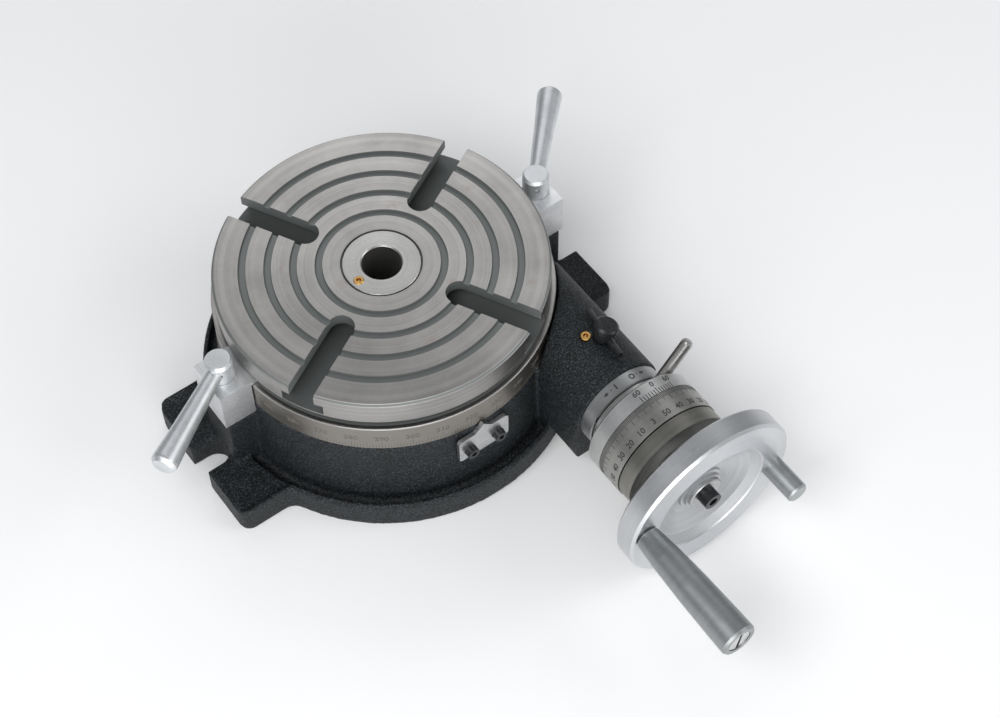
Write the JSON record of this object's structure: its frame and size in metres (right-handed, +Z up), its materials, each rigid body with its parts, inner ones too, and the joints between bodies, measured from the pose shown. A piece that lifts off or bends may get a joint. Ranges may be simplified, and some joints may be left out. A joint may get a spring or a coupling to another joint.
{
  "type": "rotary table",
  "caption": "Horizontal rotary table: a T-slotted round table with a centre taper, turned by a worm and handwheel on a lugged cast base, with rim clamps.",
  "frame": {"origin": "on the table's axis, in the plane the base stands on", "axes": "+Z up along the table's axis, +X through the right lug and rim clamp, -Y towards the handwheel"},
  "size_m": [0.2582, 0.3123, 0.088],
  "materials": {
    "black_casting": "black wrinkle paint",
    "ground_steel": "ground and turned",
    "plated_steel": "satin plated",
    "dark_steel": "turned, oiled",
    "black_oxide": "black oxide",
    "satin_aluminium": "satin, engraved scale",
    "polished_aluminium": "turned and polished",
    "brass": "turned",
    "bronze": "machined bronze"
  },
  "bodies": {
    "base": {"base_casting": "black_casting", "on_off_collar": "satin_aluminium", "collar_screws": "black_oxide", "clamp_studs": "ground_steel", "index_plate": "ground_steel", "index_screws": "black_oxide", "housing_oiler": "brass", "thrust_washer": "bronze"},
    "table": {"table": "ground_steel", "spindle_hub": "ground_steel", "hub_oiler": "brass", "worm_wheel": "bronze", "worm_wheel_screws": "black_oxide", "spindle_washer": "ground_steel", "spindle_nut": "dark_steel"},
    "sleeve": {"eccentric_sleeve": "ground_steel", "sleeve_bushes": "bronze", "rear_eccentric_bush": "bronze", "on_off_rod": "ground_steel", "vernier_ring": "satin_aluminium", "vernier_screws": "black_oxide"},
    "worm": {"worm_shaft": "ground_steel", "worm_nuts": "dark_steel", "dial_hub": "dark_steel", "dial_spring": "ground_steel", "dial_circlip": "dark_steel", "handwheel": "polished_aluminium", "handwheel_key": "dark_steel", "handwheel_washer": "ground_steel", "handwheel_screw": "black_oxide", "handle_axle": "ground_steel", "counterweight": "polished_aluminium"},
    "dial": {"dial_ring": "satin_aluminium"},
    "grip": {"handle_grip": "polished_aluminium"},
    "left_lever": {"left_clamp_nut": "plated_steel", "left_clamp_lever": "plated_steel"},
    "right_lever": {"right_clamp_nut": "plated_steel", "right_clamp_lever": "plated_steel"},
    "left_jaw": {"left_clamp_jaw": "ground_steel", "left_clamp_washer": "ground_steel"},
    "right_jaw": {"right_clamp_jaw": "ground_steel", "right_clamp_washer": "ground_steel"},
    "lock": {"lock_screw": "black_oxide", "lock_bar": "black_oxide"}
  },
  "joints": [
    {"name": "table_spin", "type": "hinge", "parent": "base", "child": "table", "pos_m": [0, 0, 0.08], "axis": [0, 0, 1], "continuous": true},
    {"name": "sleeve_swing", "type": "hinge", "parent": "base", "child": "sleeve", "pos_m": [0.055, -0.09, 0.0425], "axis": [0, 1, 0], "range_deg": [0, 65]},
    {"name": "worm_spin", "type": "hinge", "parent": "sleeve", "child": "worm", "pos_m": [0.055, -0.09, 0.045], "axis": [0, 1, 0], "continuous": true},
    {"name": "dial_set", "type": "hinge", "parent": "worm", "child": "dial", "pos_m": [0.055, -0.1285, 0.045], "axis": [0, 1, 0], "continuous": true},
    {"name": "grip_spin", "type": "hinge", "parent": "worm", "child": "grip", "pos_m": [0.01955, -0.19, 0.05125], "axis": [0, 1, 0], "continuous": true},
    {"name": "left_lever_turn", "type": "hinge", "parent": "left_jaw", "child": "left_lever", "pos_m": [-0.0847, 0, 0.0735], "axis": [0, 0, 1], "range_deg": [-25, 50]},
    {"name": "right_lever_turn", "type": "hinge", "parent": "right_jaw", "child": "right_lever", "pos_m": [0.0847, 0, 0.0735], "axis": [0, 0, 1], "range_deg": [-25, 50]},
    {"name": "left_jaw_lift", "type": "slide", "parent": "base", "child": "left_jaw", "axis": [0, 0, 1], "range_m": [-0.000086806, 0.00017361]},
    {"name": "right_jaw_lift", "type": "slide", "parent": "base", "child": "right_jaw", "axis": [0, 0, 1], "range_m": [-0.000086806, 0.00017361]},
    {"name": "lock_screw_turn", "type": "hinge", "parent": "base", "child": "lock", "pos_m": [0.055, -0.0807, 0.0425], "axis": [0.2756, 0, 0.9613], "range_deg": [-30, 60]}
  ],
  "couplings": [
    {"joint": "worm_spin", "follows": "table_spin", "ratio": -90},
    {"joint": "left_lever_turn", "follows": "left_jaw_lift", "rad_per_m": 5026.5},
    {"joint": "right_lever_turn", "follows": "right_jaw_lift", "rad_per_m": 5026.5}
  ]
}
